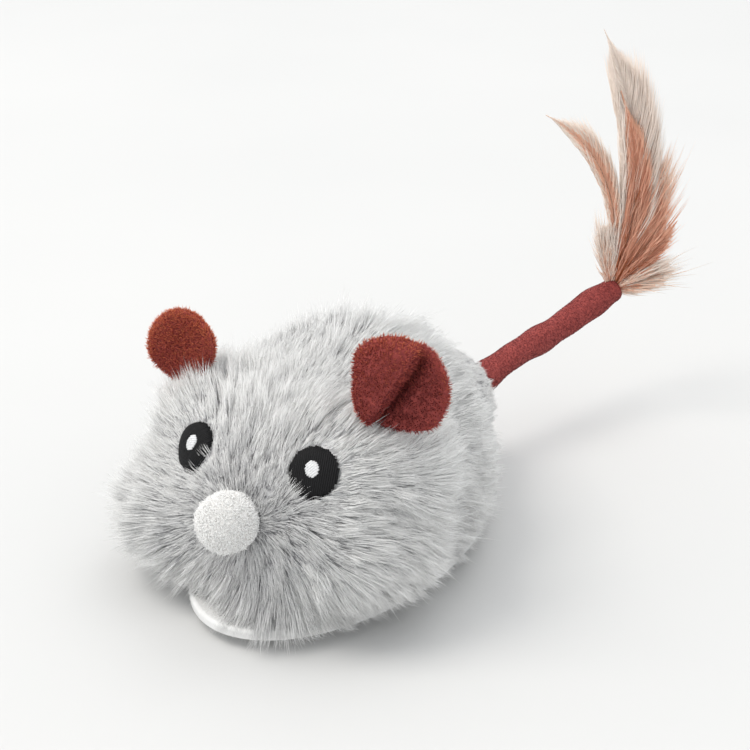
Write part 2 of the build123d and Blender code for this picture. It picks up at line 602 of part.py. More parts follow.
def tail_parts():
    """Sewn cuff, plush sleeve, core, feather plug and feathers."""
    along = (TAIL_END - TAIL_PIVOT).normalized()
    length = (TAIL_END - TAIL_PIVOT).length
    start = Plane(origin=TAIL_PIVOT + along * TAIL_START, z_dir=along)
    plug = Plane(origin=TAIL_END - along * PLUG_LENGTH, z_dir=along)
    sleeve_length = length - TAIL_START
    sleeve = extrude(start * (Circle(TAIL_RADIUS) - Circle(TAIL_CORE_RADIUS)), sleeve_length)
    base = TAIL_END + Vector(0, 0, 1.0) + along * 2.4
    return {
        "tail_cuff": Pos(TAIL_PIVOT) * Sphere(CUFF_RADIUS) - mouse_form(-CUFF_DEPTH),
        "tail_sleeve": sleeve,
        "tail_core": extrude(start * Circle(TAIL_CORE_RADIUS), sleeve_length - PLUG_LENGTH),
        "feather_plug": extrude(plug * Circle(TAIL_CORE_RADIUS), PLUG_LENGTH),
        "feather_long": feather(base, -4, 64, 3.0, 2.0, 0),
        "feather_inner": feather(base, -2.5, 46, 2.0, 1.0, 1),
        "feather_side": feather(base, -17, 45, 1.8, -2.0, 2),
        "down_feather_upper": feather(base, 16, 19, 6.0, -1.0, 3),
        "down_feather_lower": feather(base, 12, 8, 4.0, -1.0, 4),
    }


def all_parts():
    """Every node and its shape."""
    parts = {
        "base_tray": base_tray(),
        "motor_hood": motor_hood(),
        "wadding": wadding(),
        "fur_cover": fur_cover(),
        "case_screws": group(screw_solid(point, CASE_SCREW) for point in CASE_SCREW_POINTS),
        "motor_screws": group(screw_solid(point, MOTOR_SCREW) for point in MOTOR_SCREW_POINTS),
    }
    for made in (running_gear(), spring_motor(), face_parts(), tail_parts()):
        parts.update(made)
    return parts


for node, shape in all_parts().items():
    export_step(shape, "parts/" + node + ".step")
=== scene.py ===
"""Looks of the clockwork plush mouse: fur, plush, embroidery, feathers and the plastic chassis.

Lengths in the shape functions are millimetres in the row frame; put_mesh turns them into metres.
"""
import json
import math

import bpy
import numpy as np
from mathutils import Matrix, Vector, kdtree


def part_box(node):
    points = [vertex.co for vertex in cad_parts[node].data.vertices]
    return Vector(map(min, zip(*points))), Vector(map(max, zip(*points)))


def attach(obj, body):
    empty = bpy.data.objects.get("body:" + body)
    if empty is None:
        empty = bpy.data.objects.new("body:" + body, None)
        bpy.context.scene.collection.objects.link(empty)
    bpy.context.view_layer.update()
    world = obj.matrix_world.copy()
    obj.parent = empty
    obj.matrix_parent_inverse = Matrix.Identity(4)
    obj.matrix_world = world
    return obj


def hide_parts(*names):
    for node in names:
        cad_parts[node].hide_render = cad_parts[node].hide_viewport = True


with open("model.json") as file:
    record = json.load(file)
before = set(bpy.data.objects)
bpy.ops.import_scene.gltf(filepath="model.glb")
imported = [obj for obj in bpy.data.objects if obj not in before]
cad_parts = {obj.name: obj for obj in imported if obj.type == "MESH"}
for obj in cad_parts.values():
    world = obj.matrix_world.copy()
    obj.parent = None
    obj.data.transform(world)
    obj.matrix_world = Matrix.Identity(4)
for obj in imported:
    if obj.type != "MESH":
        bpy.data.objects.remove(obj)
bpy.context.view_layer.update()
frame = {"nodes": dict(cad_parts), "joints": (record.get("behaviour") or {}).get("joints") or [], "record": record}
MM = 0.001
RANDOM = np.random.default_rng(7)

# ---------------------------------------------------------------- places from the frame


def cad(node):
    """Lowest and highest corner and middle of a CAD node, in millimetres."""
    low, high = (np.array(corner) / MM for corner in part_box(node))
    return low, high, (low + high) / 2


POMPOM_LOW, POMPOM_HIGH, POMPOM_MIDDLE = cad("nose_pompom")
NOSE_DEPTH = 6.2  # from the front of the pom-pom back to the middle of the nose
NOSE = np.array([0.0, POMPOM_LOW[1] + NOSE_DEPTH, POMPOM_MIDDLE[2]])
HOOD_LOW, HOOD_HIGH, _ = cad("motor_hood")
HOOD_RADIUS = HOOD_HIGH[0]
HOOD_LINE = (HOOD_LOW[1] + HOOD_RADIUS, HOOD_HIGH[1] - HOOD_RADIUS)
HEM_TURN = 0.3  # height of the hem above the lowest edge of the cover
HEM_Z = cad("fur_cover")[0][2] + HEM_TURN
TRAY_LOW, TRAY_HIGH, _ = cad("base_tray")
TRAY_THICK = 2.0
TRAY_TOP = TRAY_LOW[2] + TRAY_THICK
TRAY_HALF = (TRAY_HIGH[:2] - TRAY_LOW[:2]) / 2
TRAY_MIDDLE_Y = (TRAY_HIGH[1] + TRAY_LOW[1]) / 2
TAIL_LIFT = next(joint for joint in frame["joints"] if joint["name"] == "tail_lift")
PIVOT = np.array(TAIL_LIFT["pos_m"]) / MM

# ---------------------------------------------------------------- view

VIEW_AZIMUTH, VIEW_ELEVATION, VIEW_ROLL = 33.0, 25.0, -1.2
VIEW_TARGET = np.array([0.0, 10.0, 30.0])
VIEW_DISTANCE, LENS_MM, SENSOR_MM = 335.0, 73.7, 36.0
SHIFT = (-0.0033, 0.0347)

# ---------------------------------------------------------------- small helpers


def unit(vectors):
    """Vectors scaled to length one, row by row."""
    vectors = np.asarray(vectors, float)
    length = np.linalg.norm(vectors, axis=-1, keepdims=True)
    return vectors / np.maximum(length, 1e-9)


def smooth_step(low, high, value):
    """0 at low and before it, 1 at high and past it, smooth between."""
    share = np.clip((value - low) / (high - low), 0, 1)
    return share * share * (3 - 2 * share)


def waves(points, scale, seed, count=6):
    """Smooth random vector field made of a few sine waves, each part about -1 to 1."""
    rng = np.random.default_rng(seed)
    field = np.zeros((len(points), 3))
    for _ in range(count):
        direction = rng.normal(size=3)
        phase = rng.uniform(0, 2 * math.pi, 3)
        wave = points @ direction / scale
        field += np.sin(wave[:, None] + phase) * unit(rng.normal(size=3))
    return field / math.sqrt(count)


def put_mesh(name, verts, faces, materials, slots=None, smooth=True):
    """A new mesh object: vertices in millimetres, faces that all have the same corner count."""
    verts = np.asarray(verts, float)
    faces = np.asarray(faces, np.int64)
    corners = faces.shape[1]
    mesh = bpy.data.meshes.new(name)
    mesh.vertices.add(len(verts))
    mesh.vertices.foreach_set("co", (verts * MM).ravel())
    mesh.loops.add(faces.size)
    mesh.loops.foreach_set("vertex_index", faces.ravel().astype(np.int32))
    mesh.polygons.add(len(faces))
    mesh.polygons.foreach_set("loop_start", np.arange(0, faces.size, corners, dtype=np.int32))
    mesh.polygons.foreach_set("use_smooth", np.full(len(faces), smooth))
    for material in materials:
        mesh.materials.append(material)
    if slots is not None:
        mesh.polygons.foreach_set("material_index", np.asarray(slots, np.int32))
    mesh.update(calc_edges=True)
    mesh.validate()
    piece = bpy.data.objects.new(name, mesh)
    bpy.context.scene.collection.objects.link(piece)
    return piece


def grid_faces(rows, columns, wrap):
    """Quads of a grid of points, closed round its columns if wrap is true."""
    last = columns if wrap else columns - 1
    row, column = np.meshgrid(np.arange(rows - 1), np.arange(last), indexing="ij")
    right = (column + 1) % columns
    here, after = row * columns, (row + 1) * columns
    quads = [here + column, after + column, after + right, here + right]
    return np.stack(quads, axis=-1).reshape(-1, 4)


def finish_piece(piece, body, slot, *nodes):
    """Rides a piece on its body and says which CAD nodes it stands for; its slot is not used."""
    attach(piece, body)
    if nodes:
        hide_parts(*nodes)
    return piece


# ---------------------------------------------------------------- materials

FIBRE_SPECULAR, FIBRE_SHEEN_ROUGHNESS = 0.3, 0.5
DARK_UP_TO, LIGHT_FROM = 0.3, 0.7  # noise values at the two ends of a pattern's colours
BUMP_DISTANCE = 0.0003


def new_material(name):
    """An empty node material, its node tree and its Principled shader."""
    material = bpy.data.materials.new(name)
    material.use_nodes = True
    tree = material.node_tree
    return material, tree, tree.nodes["Principled BSDF"]


def strand_material(name, colour, roughness=0.6, sheen=0.0):
    """One of the fibre colours. A pile mixes several, changing along each fibre."""
    material, _, shader = new_material(name)
    shader.inputs["Base Color"].default_value = (*colour, 1)
    shader.inputs["Roughness"].default_value = roughness
    shader.inputs["Specular IOR Level"].default_value = FIBRE_SPECULAR
    shader.inputs["Sheen Weight"].default_value = sheen
    shader.inputs["Sheen Roughness"].default_value = FIBRE_SHEEN_ROUGHNESS
    shader.inputs["Sheen Tint"].default_value = (*colour, 1)
    return material


def patterned_material(
    name, dark, light, scale, roughness, bump, detail=6.0, stretch=(1, 1, 1), metallic=0.0, specular=0.5
):
    """Noise-coloured material with matching roughness and bump."""
    material, tree, shader = new_material(name)
    nodes, links = tree.nodes, tree.links
    place = nodes.new("ShaderNodeTexCoord")
    mapping = nodes.new("ShaderNodeMapping")
    mapping.inputs["Scale"].default_value = stretch
    links.new(place.outputs["Object"], mapping.inputs["Vector"])
    noise = nodes.new("ShaderNodeTexNoise")
    noise.inputs["Scale"].default_value = scale
    noise.inputs["Detail"].default_value = detail
    links.new(mapping.outputs["Vector"], noise.inputs["Vector"])
    ramp = nodes.new("ShaderNodeValToRGB")
    ramp.color_ramp.elements[0].position = DARK_UP_TO
    ramp.color_ramp.elements[0].color = (*dark, 1)
    ramp.color_ramp.elements[1].position = LIGHT_FROM
    ramp.color_ramp.elements[1].color = (*light, 1)
    links.new(noise.outputs["Fac"], ramp.inputs["Fac"])
    links.new(ramp.outputs["Color"], shader.inputs["Base Color"])
    rough = nodes.new("ShaderNodeMapRange")
    rough.inputs["To Min"].default_value = roughness[0]
    rough.inputs["To Max"].default_value = roughness[1]
    links.new(noise.outputs["Fac"], rough.inputs["Value"])
    links.new(rough.outputs["Result"], shader.inputs["Roughness"])
    bumps = nodes.new("ShaderNodeBump")
    bumps.inputs["Strength"].default_value = bump
    bumps.inputs["Distance"].default_value = BUMP_DISTANCE
    links.new(noise.outputs["Fac"], bumps.inputs["Height"])
    links.new(bumps.outputs["Normal"], shader.inputs["Normal"])
    shader.inputs["Metallic"].default_value = metallic
    shader.inputs["Specular IOR Level"].default_value = specular
    return material


MATERIALS = {
    "white_plastic": patterned_material(
        "white_plastic", (0.76, 0.76, 0.75), (0.84, 0.84, 0.83), 900, (0.32, 0.45), 0.08
    ),
    "wheel_plastic": patterned_material(
        "wheel_plastic", (0.70, 0.69, 0.66), (0.78, 0.77, 0.74), 1100, (0.3, 0.45), 0.1
    ),
    "rubber": patterned_material(
        "rubber", (0.015, 0.015, 0.016), (0.035, 0.034, 0.033), 2500, (0.6, 0.85), 0.4
    ),
    "steel": patterned_material(
        "steel", (0.45, 0.45, 0.46), (0.62, 0.62, 0.62), 300, (0.22, 0.4), 0.1, 8, (1, 14, 1), 1.0
    ),
    "spring_steel": patterned_material(
        "spring_steel", (0.16, 0.18, 0.24), (0.30, 0.31, 0.36), 400, (0.2, 0.35), 0.1, 8, (14, 1, 1), 1.0
    ),
    "brass": patterned_material(
        "brass", (0.58, 0.40, 0.14), (0.74, 0.55, 0.23), 350, (0.2, 0.38), 0.1, 8, (1, 10, 1), 1.0
    ),
    "key_plastic": patterned_material(
        "key_plastic", (0.74, 0.73, 0.69), (0.80, 0.79, 0.76), 900, (0.18, 0.28), 0.06
    ),
    "stuffing": patterned_material(
        "stuffing", (0.66, 0.66, 0.64), (0.86, 0.86, 0.84), 700, (0.85, 1.0), 0.8
    ),
    "fur_skin": patterned_material(
        "fur_skin", (0.62, 0.62, 0.63), (0.78, 0.78, 0.77), 1600, (0.85, 1.0), 0.8
    ),
    "plush_skin": patterned_material(
        "plush_skin", (0.20, 0.030, 0.030), (0.38, 0.070, 0.058), 1500, (0.8, 1.0), 0.8
    ),
    "plush_lining": patterned_material(
        "plush_lining", (0.035, 0.006, 0.007), (0.08, 0.014, 0.013), 1500, (0.8, 1.0), 0.8
    ),
    "pompom_core": patterned_material(
        "pompom_core", (0.90, 0.885, 0.86), (0.96, 0.955, 0.94), 1500, (0.85, 1.0), 0.8
    ),
    "black_thread": patterned_material(
        "black_thread", (0.0015, 0.0015, 0.002), (0.009, 0.009, 0.010), 3000, (0.5, 0.7), 0.5,
        specular=0.25,
    ),
    "white_thread": patterned_material(
        "white_thread", (0.62, 0.63, 0.64), (0.88, 0.88, 0.88), 3000, (0.35, 0.6), 0.5
    ),
    "quill": patterned_material(
        "quill", (0.28, 0.13, 0.08), (0.50, 0.28, 0.20), 900, (0.35, 0.5), 0.2
    ),
}

FUR_SHADES = [
    strand_material("fur_deep", (0.44, 0.435, 0.45), sheen=0.2),
    strand_material("fur_dark", (0.60, 0.595, 0.605), sheen=0.2),
    strand_material("fur_grey", (0.75, 0.75, 0.75), sheen=0.3),
    strand_material("fur_light", (0.86, 0.86, 0.855), sheen=0.4),
    strand_material("fur_pale", (0.94, 0.94, 0.93), sheen=0.5),
    strand_material("fur_white", (0.98, 0.98, 0.97), sheen=0.5),
]
PLUSH_SHADES = [
    strand_material("plush_deep", (0.16, 0.022, 0.024), 0.8),
    strand_material("plush_dark", (0.29, 0.046, 0.044), 0.8),
    strand_material("plush_red", (0.42, 0.078, 0.062), 0.75),
    strand_material("plush_brick", (0.55, 0.125, 0.072), 0.75),
    strand_material("plush_rust", (0.68, 0.215, 0.090), 0.75),
]
POMPOM_SHADES = [
    strand_material("pompom_shade", (0.95, 0.935, 0.91), 0.8, sheen=0.5),
    strand_material("pompom_cream", (0.98, 0.97, 0.955), 0.8, sheen=0.7),
    strand_material("pompom_white", (0.99, 0.99, 0.98), 0.8, sheen=0.8),
]
FEATHER_SHADES = [
    strand_material("feather_rust", (0.64, 0.235, 0.115), 0.6, sheen=0.3),
    strand_material("feather_brown", (0.80, 0.40, 0.27), 0.6, sheen=0.4),
    strand_material("feather_tan", (0.95, 0.56, 0.40), 0.6, sheen=0.6),
    strand_material("feather_peach", (0.99, 0.74, 0.60), 0.6, sheen=0.8),
    strand_material("feather_pale", (1.0, 0.88, 0.79), 0.6, sheen=1.0),
]

SLOT_OF = {part["node"]: part["material_slot"] for part in frame["record"]["subparts"]}
for node, item in frame["nodes"].items():
    for holder in item.material_slots:
        if SLOT_OF[node] in MATERIALS:
            holder.material = MATERIALS[SLOT_OF[node]]

# ---------------------------------------------------------------- fibres

FIBRE_SIDES = 3


def strand_mesh(name, paths, widths, shades, materials):
    """Tapered fibres: paths is (fibre, point, xyz), widths and shades go along each fibre."""
    count, points, _ = paths.shape
    rings = points - 1
    along = unit(paths[:, -1] - paths[:, 0])
    helper = unit(RANDOM.normal(size=(count, 3)))
    side = unit(np.cross(along, helper))
    other = np.cross(along, side)
    tip = rings * FIBRE_SIDES
    verts = np.zeros((count, tip + 1, 3))
    for ring in range(rings):
        for corner in range(FIBRE_SIDES):
            angle = 2 * math.pi * corner / FIBRE_SIDES
            arm = side * math.cos(angle) + other * math.sin(angle)
            spot = ring * FIBRE_SIDES + corner
            verts[:, spot] = paths[:, ring] + arm * widths[:, ring, None] / 2
    verts[:, -1] = paths[:, -1]
    pattern, segment = [(2, 1, 0)], [0]
    for ring in range(rings):
        for corner in range(FIBRE_SIDES):
            a = ring * FIBRE_SIDES + corner
            b = ring * FIBRE_SIDES + (corner + 1) % FIBRE_SIDES
            if ring == rings - 1:
                pattern.append((a, b, tip))
                segment.append(ring)
            else:
                pattern += [(a, b, b + FIBRE_SIDES), (a, b + FIBRE_SIDES, a + FIBRE_SIDES)]
                segment += [ring, ring]
    offsets = np.arange(count)[:, None, None] * (tip + 1)
    faces = (np.array(pattern)[None] + offsets).reshape(-1, 3)
    return put_mesh(name, verts.reshape(-1, 3), faces, materials, shades[:, segment].ravel())


def scatter(verts, faces, count, keep=None):
    """Random points on triangles with their smooth normals; keep gives the share that stays."""
    corners = verts[faces]
    cross = np.cross(corners[:, 1] - corners[:, 0], corners[:, 2] - corners[:, 0])
    areas = np.linalg.norm(cross, axis=1)
    normals = np.zeros_like(verts)
    for corner in range(3):
        np.add.at(normals, faces[:, corner], cross)
    normals = unit(normals)
    chosen = RANDOM.choice(len(faces), count, p=areas / areas.sum())
    first, second = RANDOM.random(count), RANDOM.random(count)
    flip = first + second > 1
    first[flip], second[flip] = 1 - first[flip], 1 - second[flip]
    weights = np.stack([1 - first - second, first, second], axis=1)[:, :, None]
    points = (corners[chosen] * weights).sum(axis=1)
    facing = unit((normals[faces[chosen]] * weights).sum(axis=1))
    if keep is not None:
        stay = RANDOM.random(count) < keep(points, facing)
        points, facing = points[stay], facing[stay]
    return points, facing


def triangles(quads):
    """Each quad as two triangles."""
    return np.concatenate([quads[:, [0, 1, 2]], quads[:, [0, 2, 3]]])


# ---------------------------------------------------------------- body form

CENTRE = np.array([0.0, -2.0, 15.0])
BLOBS = [  # middle, radii and squareness of each rounded mass under the fur
    ((0.0, -15.0, 17.0), (27.0, 26.5, 27.0), 2.4),
    ((-1.5, -3.0, 18.0), (27.0, 27.0, 27.0), 2.2),
    ((-1.0, 9.0, 20.5), (22.0, 24.0, 25.5), 2.1),
    ((0.0, 12.5, 11.5), (22.0, 22.0, 13.0), 2.4),
    ((-0.5, 27.5, 17.0), (14.0, 16.5, 18.0), 2.0),
    ((2.0, 38.0, 19.5), (8.0, 10.5, 9.0), 2.0),
    ((-9.5, 2.0, 26.0), (18.5, 19.0, 16.5), 2.0),
    ((17.0, -25.0, 17.5), (14.5, 13.5, 12.0), 2.0),
    ((-20.5, -26.0, 16.5), (15.5, 15.0, 12.5), 2.0),
    ((17.5, -19.0, 32.0), (12.5, 12.5, 11.0), 2.0),
    ((-17.5, -19.0, 32.0), (12.5, 12.5, 11.0), 2.0),
]
BLEND = 2.2  # softness of the joins between the masses
RAY_START, RAY_END, RAY_STEPS = 3.0, 110.0, 32
BODY_ROWS, BODY_COLUMNS = 140, 200
TUCK = 0.11  # share by which the form is pulled in under the cheek
FLAT_HEM, SKIN_GAP, CLOTH_THICK = 0.05, 0.9, 0.6


def body_field(points):
    """Roughly the distance outside the body form, negative inside."""
    total = np.zeros(len(points))
    for middle, radii, power in BLOBS:
        scaled = np.abs((points - middle) / radii)
        size = (scaled**power).sum(axis=1) ** (1 / power)
        total += np.exp(-(size - 1) * min(radii) / BLEND)
    return -BLEND * np.log(total)


def on_form(directions, centre=CENTRE):
    """Points where rays from inside the body meet the form, with flat ends at the hem."""
    near, far = np.full(len(directions), RAY_START), np.full(len(directions), RAY_END)
    for _ in range(RAY_STEPS):
        middle = (near + far) / 2
        outside = body_field(centre + directions * middle[:, None]) > 0
        far = np.where(outside, middle, far)
        near = np.where(outside, near, middle)
    falling = directions[:, 2] < -1e-6
    to_hem = np.where(falling, (HEM_Z - centre[2]) / np.minimum(directions[:, 2], -1e-6), 1e9)
    return centre + directions * np.minimum(near, to_hem)[:, None]


def tucked(points):
    """The form pulled in near the floor under the cheek that the camera sees."""
    low = smooth_step(19, HEM_Z, points[:, 2])
    side = smooth_step(6, -22, points[:, 1]) * smooth_step(4, 18, points[:, 0])
    pulled = points.copy()
    pulled[:, :2] = CENTRE[:2] + (points[:, :2] - CENTRE[:2]) * (1 - TUCK * low * side)[:, None]
    return pulled


def body_mesh():
    """The form as a grid of points round the Y axis, from nose to rump."""
    polar = np.linspace(0.004, math.pi - 0.004, BODY_ROWS)
    turn = np.linspace(0, 2 * math.pi, BODY_COLUMNS, endpoint=False)
    polar, turn = np.meshgrid(polar, turn, indexing="ij")
    directions = np.stack(
        [np.sin(polar) * np.cos(turn), -np.cos(polar), np.sin(polar) * np.sin(turn)], axis=-1
    ).reshape(-1, 3)
    return tucked(on_form(directions)), grid_faces(BODY_ROWS, BODY_COLUMNS, True)


BODY_VERTS, BODY_FACES = body_mesh()


def hood_plan(points):
    """Distance in plan from the motor hood's centre line."""
    line = np.clip(points[:, 1], *HOOD_LINE)
    return np.hypot(points[:, 0], points[:, 1] - line)


def add_skin():
    """Cloth under the fur, open underneath inside its turned-in hem."""
    middle = BODY_VERTS[BODY_FACES].mean(axis=1)
    flat = middle[:, 2] < HEM_Z + FLAT_HEM
    kept = BODY_FACES[~(flat & (hood_plan(middle) < HOOD_RADIUS + SKIN_GAP))]
    skin = put_mesh("fur_backing", BODY_VERTS, kept, [MATERIALS["fur_skin"]])
    thick = skin.modifiers.new("cloth", "SOLIDIFY")
    thick.thickness = CLOTH_THICK * MM
    thick.offset = -1
    finish_piece(skin, "root", "fur", "fur_cover")


# ---------------------------------------------------------------- fur

EYES = {name: cad("eye_" + name)[2] for name in ("left", "right")}
EYE_HALF = {"left": (4.75, 5.15), "right": (4.6, 5.1)}
EYE_RISE = {"left": 1.9, "right": 0.3}  # the photo has the eyes at slightly different heights
HEAD_MIDDLE = np.array([0.0, -15.0, 17.0])
FUR_FIBRES, FUR_FIBRES_QUICK, FUR_CLUMPS, FUR_PIECES = 190000, 90000, 6500, 18
FUR_LENGTH, FUR_LEAN, FUR_GATHER, FUR_OVERHANG = 7.4, 24, 0.36, 0.50
FUR_WIDTHS = np.array([0.16, 0.14, 0.08])
FUR_STEPS = np.array([0.0, 0.33, 0.68, 1.0])
FUR_ROOT_DEPTH = 0.4
FUR_OVER_TRAY, FUR_OVER_FLOOR, FUR_LOW_SPREAD = 0.15, 2.6, 0.8
BARE_EYE, BARE_NOSE, BARE_HEM = 0.93, 5.4, 0.4  # where no fur grows


def eye_frame(name):
    """Middle on the form, and across, up and outward directions of an eye."""
    outward = unit(EYES[name] - HEAD_MIDDLE)
    up = unit(np.array([0.0, 0.0, 1.0]) - outward * outward[2])
    outward = unit(EYES[name] + up * EYE_RISE[name] - HEAD_MIDDLE)
    middle = on_form(outward[None], HEAD_MIDDLE)[0]
    up = unit(np.array([0.0, 0.0, 1.0]) - outward * outward[2])
    return middle, np.cross(up, outward), up, outward


def eye_distance(points, name):
    """Elliptical distance from an eye's middle: 1 on the patch's rim."""
    middle, across, up, _ = eye_frame(name)
    offset = points - middle
    half = EYE_HALF[name]
    return np.hypot(offset @ across / half[0], offset @ up / half[1])


def flow(points, normals):
    """Direction along the surface in which the fur is combed."""
    from_nose = points - NOSE
    reach = np.linalg.norm(from_nose, axis=1)
    away = unit(from_nose)
    sideways, downwards = 0.25 * np.sign(points[:, 0]), np.full(len(points), -0.35)
    back = np.stack([sideways, np.ones(len(points)), downwards], axis=1)
    share = smooth_step(22, 60, reach)[:, None]
    combed = away * (1 - share) + unit(back) * share
    combed = combed + 0.42 * waves(points, 13.0, 3) + 0.25 * waves(points, 5.0, 5)
    combed[:, 2] -= 0.12 * (1 - smooth_step(6, 20, points[:, 2]))
    return unit(combed - normals * (combed * normals).sum(axis=1, keepdims=True))


def chin_share(points):
    """1 under the chin on the side where the fur hides the tray's rim, 0 elsewhere."""
    low = smooth_step(17, 9, points[:, 2])
    wide = smooth_step(-7, 0, points[:, 0]) * smooth_step(22, 10, points[:, 0])
    return low * smooth_step(-24, -36, points[:, 1]) * wide


def pile_length(points):
    """Length of the fur at each point."""
    length = FUR_LENGTH + 1.3 * waves(points, 9.0, 11)[:, 0]
    length *= 0.50 + 0.50 * smooth_step(7, 22, np.linalg.norm(points - NOSE, axis=1))
    for name in EYES:
        length *= 0.45 + 0.55 * smooth_step(0.95, 1.9, eye_distance(points, name))
    length *= 1 - 0.52 * smooth_step(2, 30, points[:, 1])
    length *= 0.40 + 0.60 * smooth_step(5, 13, np.linalg.norm(points - PIVOT, axis=1))
    length *= 0.70 + 0.30 * smooth_step(5, 14, points[:, 2])
    return length * (1 + 0.22 * chin_share(points))


def add_fur():
    """Clumped fur in pieces that each cover a band of the body."""
    count = FUR_FIBRES

    def keep(points, normals):
        share = np.ones(len(points))
        for name in EYES:
            share *= eye_distance(points, name) > BARE_EYE
        share *= np.linalg.norm(points - NOSE, axis=1) > BARE_NOSE
        return share * (points[:, 2] > HEM_Z + BARE_HEM)

    faces = triangles(BODY_FACES)
    roots, normals = scatter(BODY_VERTS, faces, count, keep)
    clump_roots, _ = scatter(BODY_VERTS, faces, FUR_CLUMPS)
    tree = kdtree.KDTree(len(clump_roots))
    for index, point in enumerate(clump_roots):
        tree.insert(point, index)
    tree.balance()
    clump = np.array([tree.find(point)[1] for point in roots])
    count = len(roots)

    lean = RANDOM.normal(FUR_LEAN, 6, len(clump_roots))[clump] + RANDOM.normal(0, 5, count)
    lean = np.radians(lean - 9 * smooth_step(5, 20, roots[:, 1]) + 12 * chin_share(roots))
    combed = flow(roots, normals)
    length = pile_length(roots) * RANDOM.normal(1, 0.12, count).clip(0.6, 1.4)
    length *= RANDOM.normal(1, 0.16, len(clump_roots)).clip(0.6, 1.35)[clump]
    sway = RANDOM.normal(0, 0.10, (len(clump_roots), 3))[clump]
    gather = clump_roots[clump] - roots
    paths = np.zeros((count, len(FUR_STEPS), 3))
    stray = RANDOM.normal(0, 0.07, (count, 3))
    overhang = unit((roots - HEAD_MIDDLE) * np.array([1, 1, 0])) * chin_share(roots)[:, None]
    for index, share in enumerate(FUR_STEPS):
        rise = np.sin(lean) * share - 0.10 * share**2
        run = np.cos(lean) * share + 0.10 * share**2
        point = roots + length[:, None] * (normals * rise[:, None] + combed * run[:, None])
        point += overhang * length[:, None] * FUR_OVERHANG * share
        point += gather * FUR_GATHER * share**1.3 + (sway + stray) * length[:, None] * share**1.5
        point[:, 2] -= 0.3 * share**2
        paths[:, index] = point
    paths[:, 0] -= normals * FUR_ROOT_DEPTH
    tray_x, tray_y = paths[:, :, 0], paths[:, :, 1] - TRAY_MIDDLE_Y
    over_tray = np.hypot(tray_x / TRAY_HALF[0], tray_y / TRAY_HALF[1]) < 1.01
    lowest = np.where(over_tray, TRAY_TOP + FUR_OVER_TRAY, FUR_OVER_FLOOR)
    lowest = lowest + FUR_LOW_SPREAD * RANDOM.random((count, 1))
    paths[:, :, 2] = np.maximum(paths[:, :, 2], lowest)
    widths = FUR_WIDTHS[None] * RANDOM.uniform(0.7, 1.3, (count, 1))

    tone = 0.55 * RANDOM.normal(0, 1, len(clump_roots))[clump] + 0.6 * RANDOM.normal(0, 1, count)
    # The last term is painted light: it makes the fur lighter towards the rump, over the hump and flank.
    tone += 1.0 * waves(roots, 8.0, 21)[:, 0] + 0.35 + 0.45 * smooth_step(-5, 22, roots[:, 1])
    # Painted shade: the fur is darkened round the pom-pom nose.
    tone -= 1.8 * (1 - smooth_step(7, 24, np.linalg.norm(roots - NOSE, axis=1)))
    shades = np.zeros((count, 3), int)
    shades[:, 0] = np.digitize(tone, [-0.6, 0.8])
    shades[:, 1] = 2 + np.digitize(tone, [-0.9, 0.3, 1.6])
    shades[:, 2] = 3 + np.digitize(tone, [-1.2, 0.1])

    order = np.argsort(roots[:, 1])
    for index, part in enumerate(np.array_split(order, FUR_PIECES)):
        name = f"fur_pile_{index + 1}"
        piece = strand_mesh(name, paths[part], widths[part], shades[part], FUR_SHADES)
        finish_piece(piece, "root", "fur")


# ---------------------------------------------------------------- nose and eyes

POMPOM_SHIFT = np.array([0.3, 1.2, 0.8])  # from the nose to where the photo has the ball
POMPOM_ROWS, POMPOM_COLUMNS, POMPOM_FIBRES = 40, 60, 12000
POMPOM_CORE, POMPOM_LUMPS = 0.93, 0.03  # shares of the radius
POMPOM_WIDTHS = np.array([0.26, 0.26, 0.22])
THREAD_SIDES, THREAD_POINTS, THREAD_OVERLAP = 6, 9, 1.25
BLACK_THREADS, WHITE_THREADS = 24, 7
GLINT_HALF, GLINT_SHIFT = (1.25, 1.55), (-0.1, 0.5)


def add_pompom():
    """White pom-pom: a soft core and a dense coat of short fibres."""
    radius = (POMPOM_HIGH[0] - POMPOM_LOW[0]) / 2
    middle = NOSE + POMPOM_SHIFT
    polar = np.linspace(0.01, math.pi - 0.01, POMPOM_ROWS)
    turn = np.linspace(0, 2 * math.pi, POMPOM_COLUMNS, endpoint=False)
    polar, turn = np.meshgrid(polar, turn, indexing="ij")
    directions = np.stack(
        [np.sin(polar) * np.cos(turn), np.sin(polar) * np.sin(turn), np.cos(polar)], axis=-1
    ).reshape(-1, 3)
    lumps = 1 + POMPOM_LUMPS * waves(directions * 10, 5.0, 31)[:, 0]
    core = middle + directions * (radius * POMPOM_CORE * lumps)[:, None]
    faces = grid_faces(POMPOM_ROWS, POMPOM_COLUMNS, True)
    ball = put_mesh("pompom_core", core, faces, [MATERIALS["pompom_core"]])
    finish_piece(ball, "root", "pompom", "nose_pompom")
    roots, _ = scatter(core, triangles(faces), POMPOM_FIBRES)
    count = len(roots)
    outward = unit(roots - middle)
    bend = RANDOM.normal(0, 0.7, (count, 3))
    length = radius * RANDOM.normal(0.045, 0.010, count).clip(0.02, 0.08)
    shares = np.array([0.0, 0.4, 0.75, 1.0])
    paths = np.stack(
        [roots + (outward * share + bend * share**1.6) * length[:, None] for share in shares], axis=1
    )
    widths = POMPOM_WIDTHS[None] * RANDOM.uniform(0.8, 1.2, (count, 1))
    at_root, between = RANDOM.integers(0, 2, count), RANDOM.integers(1, 3, count)
    shades = np.stack([at_root, between, np.full(count, 2)], axis=1)
    coat = strand_mesh("pompom_fibres", paths, widths, shades, POMPOM_SHADES)
    finish_piece(coat, "root", "pompom")


